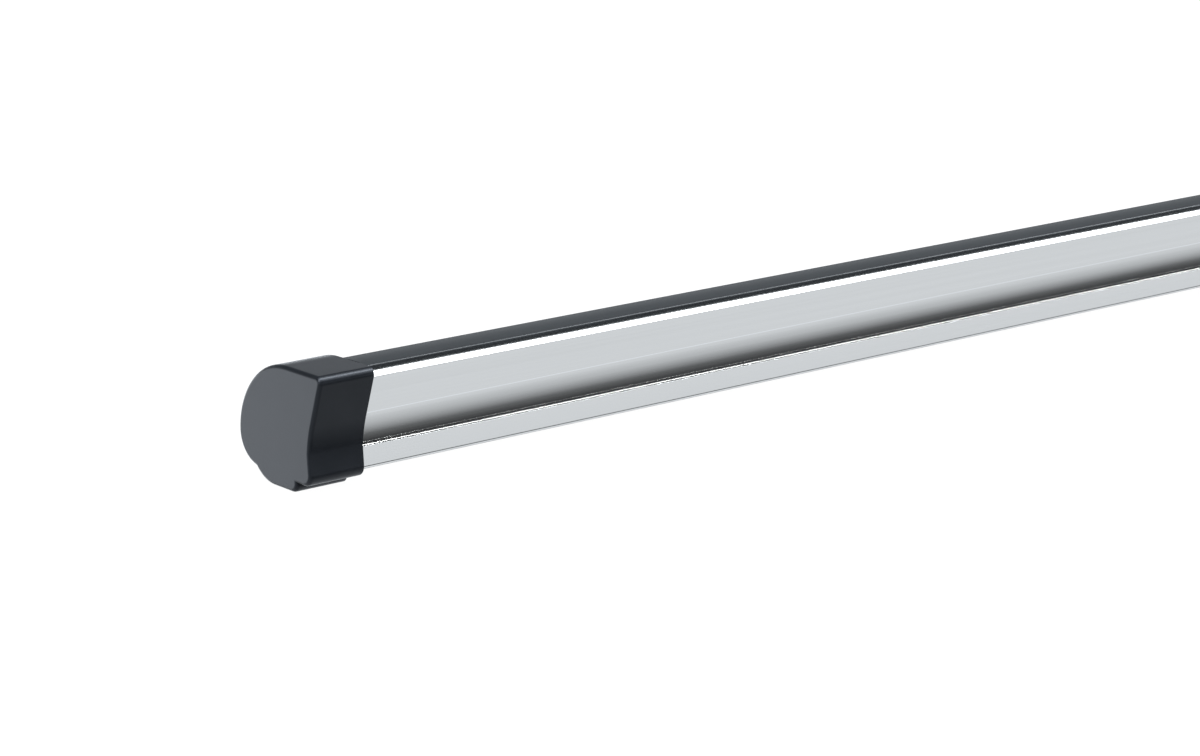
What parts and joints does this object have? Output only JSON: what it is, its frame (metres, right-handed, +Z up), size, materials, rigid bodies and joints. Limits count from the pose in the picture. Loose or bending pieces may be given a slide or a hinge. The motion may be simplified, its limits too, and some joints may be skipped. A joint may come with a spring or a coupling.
{
  "type": "roof rack crossbar",
  "caption": "Hollow aluminium crossbar with a round nose, a rubber strip in its top slot and a push-on moulded cap at each end.",
  "frame": {"origin": "bottom centre of the whole, on the plane that the soles of both caps stand on", "axes": "+X along the bar, +Y towards the round nose, +Z up to the rubber strip"},
  "size_m": [1.2064, 0.0531, 0.0469],
  "materials": {
    "extrusion": "satin anodised extrusion",
    "strip_rubber": "matt extruded rubber",
    "cap_plastic": "fine-grained moulding"
  },
  "bodies": {
    "bar": {"bar_profile": "extrusion", "top_strip": "strip_rubber"},
    "left_cap": {"end_cap_left": "cap_plastic"},
    "right_cap": {"end_cap_right": "cap_plastic"}
  },
  "joints": [
    {"name": "left_cap_pull", "type": "slide", "parent": "bar", "child": "left_cap", "axis": [-1, 0, 0], "range_m": [0, 0.04]},
    {"name": "right_cap_pull", "type": "slide", "parent": "bar", "child": "right_cap", "axis": [1, 0, 0], "range_m": [0, 0.04]}
  ]
}
